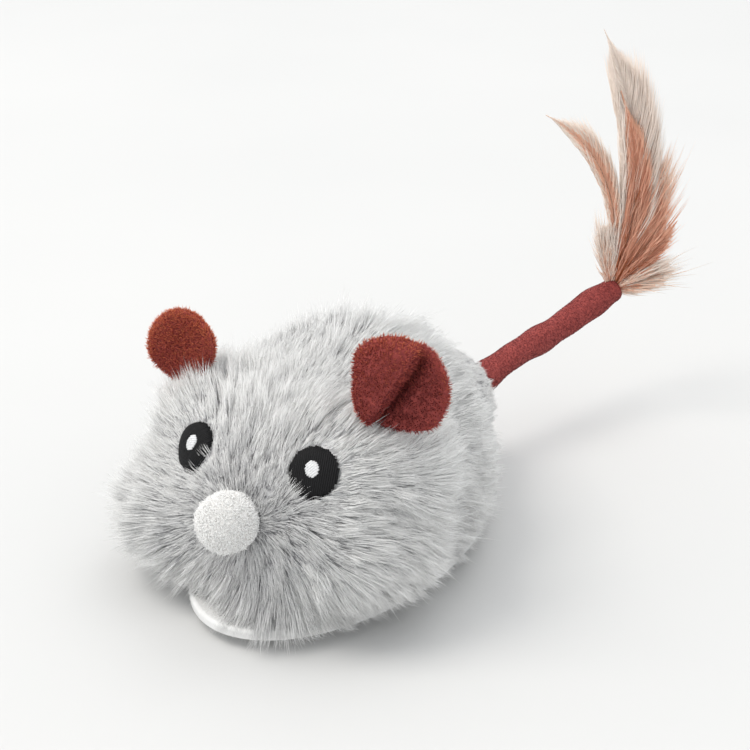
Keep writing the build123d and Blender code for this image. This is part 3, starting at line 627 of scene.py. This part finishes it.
def tube(points, radius):
    """Vertices and faces of a thin round thread through the points, closed at both ends."""
    points = np.asarray(points, float)
    along = unit(np.gradient(points, axis=0))
    helper = np.array([0.0, 0.0, 1.0]) if abs(along[0][2]) < 0.9 else np.array([1.0, 0.0, 0.0])
    side = unit(np.cross(along, helper))
    other = np.cross(side, along)
    radius = np.broadcast_to(np.asarray(radius, float), (len(points),))
    ring = np.arange(THREAD_SIDES)
    angles = 2 * math.pi * ring / THREAD_SIDES
    cosines, sines = np.cos(angles)[None, :, None], np.sin(angles)[None, :, None]
    arms = side[:, None] * cosines + other[:, None] * sines
    rings = points[:, None] + radius[:, None, None] * arms
    verts = np.concatenate([rings.reshape(-1, 3), points[[0]], points[[-1]]])
    quads = triangles(grid_faces(len(points), THREAD_SIDES, True))
    start, end = len(verts) - 2, len(verts) - 1
    last = (len(points) - 1) * THREAD_SIDES
    after = (ring + 1) % THREAD_SIDES
    caps = np.concatenate([
        np.stack([ring, after, np.full(THREAD_SIDES, start)], axis=1),
        np.stack([last + after, last + ring, np.full(THREAD_SIDES, end)], axis=1),
    ])
    return verts, np.concatenate([quads, caps])


def tubes_mesh(name, runs, material):
    """Several threads joined into one mesh: runs is a list of (points, radius)."""
    verts, faces, base = [], [], 0
    for points, radius in runs:
        some, tris = tube(points, radius)
        verts.append(some)
        faces.append(tris + base)
        base += len(some)
    return put_mesh(name, np.concatenate(verts), np.concatenate(faces), [material])


def stitched_oval(name, node, eye, half, height, crown, thread, count, slant, shift=(0, 0)):
    """Satin-stitched oval: parallel threads laid over a low dome that hugs the face.

    thread names the material.
    """
    middle, across, up, outward = eye_frame(eye)
    along_u, along_v = math.cos(slant), math.sin(slant)
    runs = []
    for index in range(count):
        offset = -1 + 2 * (index + 0.5) / count
        reach = math.sqrt(max(0.0, 1 - offset**2)) * (1 + RANDOM.normal(0, 0.025))
        points = []
        for share in np.linspace(-1, 1, THREAD_POINTS):
            a, b = share * reach, offset
            u = (a * along_u - b * along_v) * half[0] + shift[0]
            v = (a * along_v + b * along_u) * half[1] + shift[1]
            flat = middle + across * u + up * v
            base = on_form(unit(flat - HEAD_MIDDLE)[None], HEAD_MIDDLE)[0]
            dome = crown * math.sqrt(max(0.0, 1 - min(1.0, a * a + b * b) ** 1.5))
            points.append(base + outward * (height + dome + RANDOM.normal(0, 0.02)))
        runs.append((points, max(half) / count * THREAD_OVERLAP))
    piece = tubes_mesh(name, runs, MATERIALS[thread])
    return finish_piece(piece, "root", thread, node)


def add_eyes():
    """Embroidered black eyes with a white glint."""
    for eye in ("left", "right"):
        stitched_oval(
            f"eye_stitches_{eye}", f"eye_{eye}", eye, EYE_HALF[eye], height=0.55, crown=0.8,
            thread="black_thread", count=BLACK_THREADS, slant=1.35,
        )
        stitched_oval(
            f"glint_stitches_{eye}", f"eye_glint_{eye}", eye, GLINT_HALF, height=1.35, crown=0.3,
            thread="white_thread", count=WHITE_THREADS, slant=0.5, shift=GLINT_SHIFT,
        )


# ---------------------------------------------------------------- ears

PLUSH_STEPS = (0.0, 0.4, 0.75, 1.0)
PLUSH_TAPER = np.array([1.0, 0.95, 0.75])
EAR_ROWS, EAR_COLUMNS = 34, 96
EAR_FIBRES, EAR_PILE, EAR_FIBRE_WIDTH = 12000, 0.65, 0.14
# The last entry of each ear lightens its whole pile: painted light, which only the right ear gets.
EAR_SPECS = {
    "left": dict(
        middle=np.array([25.4, -21.0, 52.0]), up=np.array([0.66, 0.12, 0.74]),
        face=np.array([0.35, -0.9, 0.25]), half=(10.3, 10.4), waist=0.40, puff=1.5,
        fold=-0.10, fold_lean=-0.17, lobe=3.8, groove=2.6, bowl=2.2, over=1.5, painted_light=0.0,
    ),
    "right": dict(
        middle=np.array([-26.5, -21.0, 48.4]), up=np.array([-0.34, 0.08, 0.94]),
        face=np.array([-0.1, -0.95, 0.3]), half=(9.0, 8.2), waist=0.42, puff=1.6,
        fold=2.0, fold_lean=0.0, lobe=0.0, groove=0.0, bowl=1.6, over=0.0, painted_light=0.5,
    ),
}


def plush_coat(name, verts, faces, count, length, body, shade_of, width):
    """Short dense pile on a closed form."""
    roots, normals = scatter(verts, triangles(faces), count)
    comb = unit(np.array([0.2, 0.3, 0.6]) + 0.6 * waves(roots, 3.0, 41))
    comb = comb - normals * (comb * normals).sum(axis=1, keepdims=True)
    reach = length * RANDOM.normal(1, 0.18, len(roots)).clip(0.5, 1.5)
    stray = RANDOM.normal(0, 0.28, (len(roots), 3))
    bend = 0.45 * comb + stray
    paths = np.stack(
        [
            roots - normals * 0.1 + reach[:, None] * (normals * share + bend * share**1.5)
            for share in PLUSH_STEPS
        ],
        axis=1,
    )
    widths = PLUSH_TAPER[None] * width * RANDOM.uniform(0.8, 1.2, (len(roots), 1))
    tone = shade_of(roots, normals) + RANDOM.normal(0, 0.55, len(roots))
    tip = np.clip(np.round(tone), 0, 4).astype(int)
    shades = np.stack([np.maximum(tip - 2, 0), np.maximum(tip - 1, 0), tip], axis=1)
    coat = strand_mesh(name, paths, widths, shades, PLUSH_SHADES)
    return finish_piece(coat, body, "red_plush")


def ear_form(name):
    """Closed ear: a puffy rounded paddle, the left one folded over lengthwise."""
    spec = EAR_SPECS[name]
    up = unit(spec["up"])
    face = unit(spec["face"] - up * np.dot(spec["face"], up))
    across = np.cross(up, face)
    shares = np.sin(np.linspace(0, math.pi / 2, EAR_ROWS))
    turn = np.linspace(0, 2 * math.pi, EAR_COLUMNS, endpoint=False)
    layers = []
    for sign in (1, -1):
        r, t = np.meshgrid(shares if sign > 0 else shares[::-1][1:], turn, indexing="ij")
        a, b = r * np.cos(t), r * np.sin(t)
        narrow = 1 - spec["waist"] * smooth_step(0.1, -1.0, b)
        puff = spec["puff"] * np.sqrt(np.clip(1 - r**2.8, 0, 1))
        fold = spec["fold"] + spec["fold_lean"] * b
        lobe = spec["lobe"] * smooth_step(fold + 0.08, fold - 0.10, a) * smooth_step(-1.25, -0.45, a)
        dip = np.exp(-(((a - fold - 0.16) / 0.17) ** 2))
        groove = -spec["groove"] * dip * smooth_step(1.05, 0.5, b)
        bowl = spec["bowl"] * (a**2 + 0.4 * b**2)
        lift = bowl + (lobe + groove) * (1 - 0.85 * r**6) + sign * puff
        edge = np.exp(-(((a - fold + 0.07) / 0.13) ** 2))
        over = spec["over"] * edge * smooth_step(1.0, 0.6, b)
        point = spec["middle"] + (a * spec["half"][0] * narrow)[..., None] * across
        point = point + (b * spec["half"][1])[..., None] * up
        point = point + lift[..., None] * face + over[..., None] * across
        layers.append(point.reshape(-1, 3))
    verts = np.concatenate(layers)
    return verts, grid_faces(2 * EAR_ROWS - 1, EAR_COLUMNS, True), up, across


def add_ears():
    """Plush ears, each a form with a pile coat."""
    for name, spec in EAR_SPECS.items():
        verts, faces, up, across = ear_form(name)
        form = put_mesh(f"ear_form_{name}", verts, faces, [MATERIALS["plush_skin"]])
        finish_piece(form, "root", "red_plush", f"ear_{name}")

        def shade_of(points, normals, spec=spec, up=up, across=across):
            # Painted shade darkens the pile inside the fold, and painted light lightens it towards the top and,
            # through the spec's last entry, all over the right ear; the rim is lighter.
            offset = points - spec["middle"]
            a, b = offset @ across / spec["half"][0], offset @ up / spec["half"][1]
            rim = smooth_step(0.78, 1.0, np.hypot(a, b))
            fold_shade = smooth_step(0.0, 0.12, a - spec["fold"] - spec["fold_lean"] * b)
            return 2.4 - 0.8 * fold_shade + 1.0 * rim + 0.5 * smooth_step(-0.4, 0.9, b) + spec["painted_light"]

        plush_coat(
            f"ear_pile_{name}", verts, faces, EAR_FIBRES, EAR_PILE, "root", shade_of, EAR_FIBRE_WIDTH
        )


# ---------------------------------------------------------------- tail

PLUG = cad("feather_plug")[2]
PLUG_TO_END = 2.5
TAIL_END = PIVOT + unit(PLUG - PIVOT) * (np.linalg.norm(PLUG - PIVOT) + PLUG_TO_END)
TAIL_ALONG = unit(TAIL_END - PIVOT)
TAIL_SIDE = unit(np.cross(TAIL_ALONG, [0, 0, 1]))
TAIL_OTHER = np.cross(TAIL_ALONG, TAIL_SIDE)
TAIL_RINGS, TAIL_COLUMNS, TAIL_RADIUS = 46, 48, 3.35
TAIL_FIBRES, TAIL_PILE, TAIL_FIBRE_WIDTH = 12000, 0.7, 0.15
OPEN_END = (  # share of the end's radius and distance past the end, from the lip down into the tube
    (0.93, 0.25), (0.8, 0.3), (0.7, 0.0), (0.62, -1.5), (0.5, -4.0), (0.02, -4.2),
)
CUFF_TURNS, CUFF_POINTS, CUFF_RADIUS, CUFF_THREAD = 3, 33, 3.5, 0.3


def tail_points():
    """Centre line of the tail from inside the rump to its cut end, and its radius."""
    reach = TAIL_END - PIVOT
    shares = np.linspace(0, 1, TAIL_RINGS)
    line = PIVOT + reach * shares[:, None]
    across = unit(np.cross(reach, [0, 0, 1]))
    up = unit(np.cross(across, reach))
    wobble = 0.75 * np.sin(shares * 7.4 + 0.5) * np.sin(shares * math.pi)
    sway = 0.5 * np.sin(shares * 5.0 + 2.2) * np.sin(shares * math.pi)
    line = line + up * wobble[:, None] + across * sway[:, None]
    radius = TAIL_RADIUS + 0.22 * np.sin(shares * 16 + 1.0) + 0.12 * np.sin(shares * 31)
    return line, radius


def add_tail():
    """Plush tail tube with an open end, and the cuff stitches at its root."""
    line, radius = tail_points()
    angles = np.linspace(0, 2 * math.pi, TAIL_COLUMNS, endpoint=False)
    around = TAIL_SIDE * np.cos(angles)[:, None] + TAIL_OTHER * np.sin(angles)[:, None]
    rings = [line[0] + around * 0.05]
    for index in range(TAIL_RINGS):
        dents = 1 + 0.04 * np.sin(2 * angles + 9 * index / TAIL_RINGS)
        rings.append(line[index] + around * radius[index] * dents[:, None])
    for inset, past_end in OPEN_END:
        rings.append(line[-1] + TAIL_ALONG * past_end + around * radius[-1] * inset)
    verts = np.concatenate(rings)
    faces = grid_faces(len(rings), TAIL_COLUMNS, True)
    sleeve = put_mesh("tail_sleeve_plush", verts, faces, [MATERIALS["plush_skin"]])
    finish_piece(sleeve, "tail", "red_plush", "tail_sleeve", "tail_core")

    def shade_of(points, normals):
        # Painted light: the pile is made lighter where it faces up and towards the front left, as if lit from
        # there.
        light = np.clip(normals @ unit(np.array([-0.4, -0.2, 0.9])), 0, 1)
        return -0.8 + 2.2 * light**4 + 0.4 * waves(points, 6.0, 51)[:, 0]

    plush_coat(
        "tail_pile", verts, faces, TAIL_FIBRES, TAIL_PILE, "tail", shade_of, TAIL_FIBRE_WIDTH
    )
    angles = np.linspace(0, 2 * math.pi, CUFF_POINTS)
    around = TAIL_SIDE * np.cos(angles)[:, None] + TAIL_OTHER * np.sin(angles)[:, None]
    runs = []
    for turn in range(CUFF_TURNS):
        middle = PIVOT + TAIL_ALONG * (0.4 + 0.55 * turn)
        runs.append((middle + (CUFF_RADIUS - 0.25 * turn) * around, CUFF_THREAD))
    cuff = tubes_mesh("tail_cuff_stitches", runs, MATERIALS["plush_lining"])
    finish_piece(cuff, "tail_cuff", "red_plush", "tail_cuff")


# ---------------------------------------------------------------- feathers

# The bundle is laid out flat, facing the camera: tips and bends are (across, up) from its base.
FACING = np.array([math.sin(math.radians(VIEW_AZIMUTH)), -math.cos(math.radians(VIEW_AZIMUTH)), 0.0])
ACROSS = np.array([math.cos(math.radians(VIEW_AZIMUTH)), math.sin(math.radians(VIEW_AZIMUTH)), 0.0])
UP = np.array([0.0, 0.0, 1.0])
SPINE_POINTS, QUILL_ROOT, QUILL_TIP = 40, 0.32, 0.05
BARB_STEPS = (0.0, 0.3, 0.65, 1.0)
BARB_WIDTHS = np.array([0.30, 0.30, 0.18])
PLAIN_FEATHER = dict(
    depth=0.0, bare=0.06, belly=0.75, ragged=0.12, angle=16, spread=3, loft=0.10, curl=0.05, pale=1.0
)
BINDING_TURNS, BINDING_POINTS, BINDING_RADIUS, BINDING_THREAD = 7, 20, 1.7, 0.27


def feather_spine(base, spec):
    """Curved quill line from the bundle to the tip."""
    shares = np.linspace(0, 1, SPINE_POINTS)[:, None]
    start, bend, tip = (np.array(p, float) for p in ((0, 0), spec["bend"], spec["tip"]))
    flat = (1 - shares) ** 2 * start + 2 * shares * (1 - shares) * bend + shares**2 * tip
    depth = spec["depth"] * np.sin(shares * math.pi / 2)
    return base + ACROSS * flat[:, :1] + UP * flat[:, 1:] + FACING * depth


def add_feather(name, base, spec, node=None):
    """One feather: quill, and barbs whose colour pales towards their ends."""
    spec = {**PLAIN_FEATHER, **spec}
    spine = feather_spine(base, spec)
    quill_radius = np.linspace(QUILL_ROOT, QUILL_TIP, len(spine))
    along = unit(np.gradient(spine, axis=0))
    outward = unit(np.cross(along, FACING))
    count = spec["barbs"]
    share = np.sort(RANDOM.uniform(spec["bare"], 0.995, count))
    index = share * (len(spine) - 1)
    low = np.floor(index).astype(int).clip(0, len(spine) - 2)
    mix = (index - low)[:, None]
    root = spine[low] * (1 - mix) + spine[low + 1] * mix
    direction = unit(along[low] * (1 - mix) + along[low + 1] * mix)
    side = np.where(RANDOM.random(count) < 0.5, 1.0, -1.0)[:, None]
    lateral = outward[low] * side
    outline = np.sin(np.clip(share * 1.02, 0, 1) ** spec["belly"] * math.pi) ** 0.6
    width = np.maximum(spec["width"] * outline, 0.35)
    width = width * RANDOM.normal(1, spec["ragged"], count).clip(0.4, 1.7)
    angle = np.radians(RANDOM.normal(spec["angle"], spec["spread"], count))
    length = width / np.maximum(np.sin(angle), 0.2)
    length *= np.minimum(1, 0.15 + 2.2 * (1 - share))
    depth = RANDOM.normal(0, spec["loft"], count)[:, None]
    paths = np.zeros((count, len(BARB_STEPS), 3))
    curl = RANDOM.normal(0, spec["curl"], (count, 3))
    for step, s in enumerate(BARB_STEPS):
        go = direction * (np.cos(angle)[:, None] * s + 0.05 * s**2) + lateral * (
            np.sin(angle)[:, None] * (1 - (1 - s) ** 2.2)
        )
        paths[:, step] = root + length[:, None] * (go + FACING * depth * s + curl * s**1.7)
    widths = BARB_WIDTHS[None] * RANDOM.uniform(0.8, 1.2, (count, 1))
    low_tone, high_tone = spec["tone"]
    tone = low_tone + (high_tone - low_tone) * share + RANDOM.normal(0, 0.22, count)
    shades = np.stack([tone, tone + spec["pale"], tone + 2 * spec["pale"]], axis=1)
    shades = np.clip(np.round(shades), 0, 4).astype(int)
    vane = strand_mesh(f"{name}_barbs", paths, widths, shades, FEATHER_SHADES)
    finish_piece(vane, "tail", "feather", *([node] if node else []))
    quill = tubes_mesh(f"{name}_quill", [(spine, quill_radius)], MATERIALS["quill"])
    finish_piece(quill, "tail", "feather")


FEATHERS = {
    "feather_long": dict(
        tip=(-4.5, 66.5), bend=(11.0, 35), width=4.6, barbs=1700, tone=(3.0, 4.4), pale=0.8,
        belly=0.65, angle=13, ragged=0.05, spread=1.5, curl=0.02,
    ),
    "feather_inner": dict(
        tip=(0.0, 52), bend=(9.5, 26), depth=1.0, width=2.9, barbs=1800, tone=(0.3, 1.6), pale=0.4,
        belly=0.50, angle=12, ragged=0.06, spread=1.5, curl=0.02,
    ),
    "feather_side": dict(
        tip=(-18.0, 46.5), bend=(4.0, 35), depth=1.4, width=2.4, barbs=1400, tone=(1.2, 2.8), pale=1.1,
        belly=1.25, angle=15, ragged=0.08, spread=2, curl=0.03,
    ),
    "down_feather_upper": dict(
        tip=(15.5, 19), bend=(8, 8), depth=1.8, width=1.7, barbs=800, tone=(0.2, 1.4), pale=0.5,
        belly=0.6, ragged=0.3, spread=5, curl=0.08, loft=0.2,
    ),
    "down_feather_lower": dict(
        tip=(14.5, 8), bend=(7, 3), depth=2.4, width=2.0, barbs=700, tone=(2.0, 3.4), pale=0.8,
        belly=0.7, angle=18, ragged=0.35, spread=7, curl=0.10, loft=0.25,
    ),
}
FILLERS = {
    "feather_back": dict(
        tip=(8.0, 36), bend=(8.5, 17), depth=-1.2, width=4.2, barbs=1700, tone=(0.5, 2.4), pale=0.8,
        belly=0.55, angle=15, ragged=0.15,
    ),
    "feather_broad": dict(
        tip=(8.0, 24), bend=(7.5, 10), depth=0.5, width=3.4, barbs=1300, tone=(0.0, 1.7), pale=0.5,
        belly=0.6, ragged=0.2, spread=5,
    ),
    "down_left": dict(
        tip=(-2.5, 18), bend=(-1.5, 9), depth=1.2, width=2.0, barbs=600, tone=(2.4, 3.6), pale=0.8,
        belly=0.7, ragged=0.35, spread=6, curl=0.10,
    ),
    "down_low": dict(
        tip=(11.0, 4), bend=(5, 1), depth=1.5, width=1.6, barbs=400, tone=(2.8, 3.8), pale=0.6,
        belly=0.7, ragged=0.35, spread=6, curl=0.10,
    ),
}


def add_feathers():
    """The bundle of feathers in the tail's end, and the thread that binds it."""
    base = TAIL_END - TAIL_ALONG * 0.6
    for node, spec in FEATHERS.items():
        add_feather(node + "_soft", base, spec, node)
    for name, spec in FILLERS.items():
        add_feather(name, base, spec)
    turns = np.linspace(0, BINDING_TURNS * 2 * math.pi, BINDING_TURNS * BINDING_POINTS)
    inside = 3.6 - 3.4 * turns[:, None] / turns[-1]
    coil = PIVOT + TAIL_ALONG * np.linalg.norm(TAIL_END - PIVOT) - TAIL_ALONG * inside
    around = TAIL_SIDE * np.cos(turns)[:, None] + TAIL_OTHER * np.sin(turns)[:, None]
    coil = coil + BINDING_RADIUS * around
    binding = tubes_mesh("feather_binding", [(coil, BINDING_THREAD)], MATERIALS["quill"])
    finish_piece(binding, "tail", "feather", "feather_plug")


# ---------------------------------------------------------------- wadding

WADDING_SHARE, WADDING_LUMPS, WADDING_LIFT = 0.95, 0.3, 0.4
FLAT_WADDING, WADDING_GAP = 1.0, 1.2


def add_wadding():
    """Fibre stuffing between the hood and the cover."""
    fold_shade = CENTRE + (BODY_VERTS - CENTRE) * WADDING_SHARE
    lumpy = fold_shade + WADDING_LUMPS * waves(fold_shade, 3.0, 61)
    lumpy[:, 2] = np.maximum(lumpy[:, 2], HEM_Z + WADDING_LIFT)
    middle = lumpy[BODY_FACES].mean(axis=1)
    flat = middle[:, 2] < HEM_Z + FLAT_WADDING
    kept = BODY_FACES[~(flat & (hood_plan(middle) < HOOD_RADIUS + WADDING_GAP))]
    pad = put_mesh("wadding_fibre", lumpy, kept, [MATERIALS["stuffing"]])
    finish_piece(pad, "root", "stuffing", "wadding")


# ---------------------------------------------------------------- stage

FLOOR_HALF = 3000.0
SURROUND, SURROUND_STRENGTH = (0.97, 0.985, 1.0, 1), 1.04
LAMP_TARGET = (0, 0, 0.02)
LAMPS = {  # place in metres, size in metres, power in watts, colour
    "key": ((-1.0, -0.75, 2.2), 1.4, 28, (1.0, 0.955, 0.90)),
    "top": ((0.35, 1.0, 2.4), 1.6, 8, (1.0, 1.0, 1.0)),
}


def view_axes():
    """Right, up and backward directions of the camera."""
    a, e, r = (math.radians(v) for v in (VIEW_AZIMUTH, VIEW_ELEVATION, VIEW_ROLL))
    back = np.array([math.sin(a) * math.cos(e), -math.cos(a) * math.cos(e), math.sin(e)])
    right = np.array([math.cos(a), math.sin(a), 0.0])
    up = np.cross(back, right)
    return math.cos(r) * right + math.sin(r) * up, -math.sin(r) * right + math.cos(r) * up, back


def add_camera():
    """Camera at the viewing angle, with no depth of field."""
    right, up, back = view_axes()
    data = bpy.data.cameras.new("camera")
    data.lens, data.sensor_width = LENS_MM, SENSOR_MM
    data.shift_x, data.shift_y = SHIFT
    data.clip_start, data.clip_end = 0.01, 20
    camera = bpy.data.objects.new("camera", data)
    place = (VIEW_TARGET + back * VIEW_DISTANCE) * MM
    turn = Matrix((right, up, back)).transposed().to_4x4()
    camera.matrix_world = Matrix.Translation(Vector(place)) @ turn
    bpy.context.scene.collection.objects.link(camera)
    bpy.context.scene.camera = camera


def add_area(name, place, size, power, colour):
    """Soft square lamp aimed at the mouse."""
    data = bpy.data.lights.new(name, "AREA")
    data.shape, data.size, data.energy, data.color = "SQUARE", size, power, colour
    lamp = bpy.data.objects.new(name, data)
    lamp.location = place
    aim = Vector(LAMP_TARGET) - Vector(place)
    lamp.rotation_euler = aim.to_track_quat("-Z", "Y").to_euler()
    bpy.context.scene.collection.objects.link(lamp)


def add_stage():
    """Pale floor, soft lights and a bright even surround."""
    verts = [(x * FLOOR_HALF, y * FLOOR_HALF, 0) for x, y in ((-1, -1), (1, -1), (1, 1), (-1, 1))]
    floor_material = patterned_material(
        "floor", (0.640, 0.643, 0.638), (0.660, 0.661, 0.655), 6, (0.6, 0.7), 0.0, 2
    )
    floor = put_mesh("floor", verts, [(0, 1, 2, 3)], [floor_material])
    world = bpy.data.worlds.new("surround")
    world.use_nodes = True
    background = world.node_tree.nodes["Background"]
    background.inputs["Color"].default_value = SURROUND
    background.inputs["Strength"].default_value = SURROUND_STRENGTH
    bpy.context.scene.world = world
    for name, lamp in LAMPS.items():
        add_area(name, *lamp)
    view = bpy.context.scene.view_settings
    view.view_transform = "Standard"
    view.look = "None"
    view.exposure = 0.0


add_camera()
add_stage()
add_skin()
add_wadding()
add_fur()
add_pompom()
add_eyes()
add_ears()
add_tail()
add_feathers()
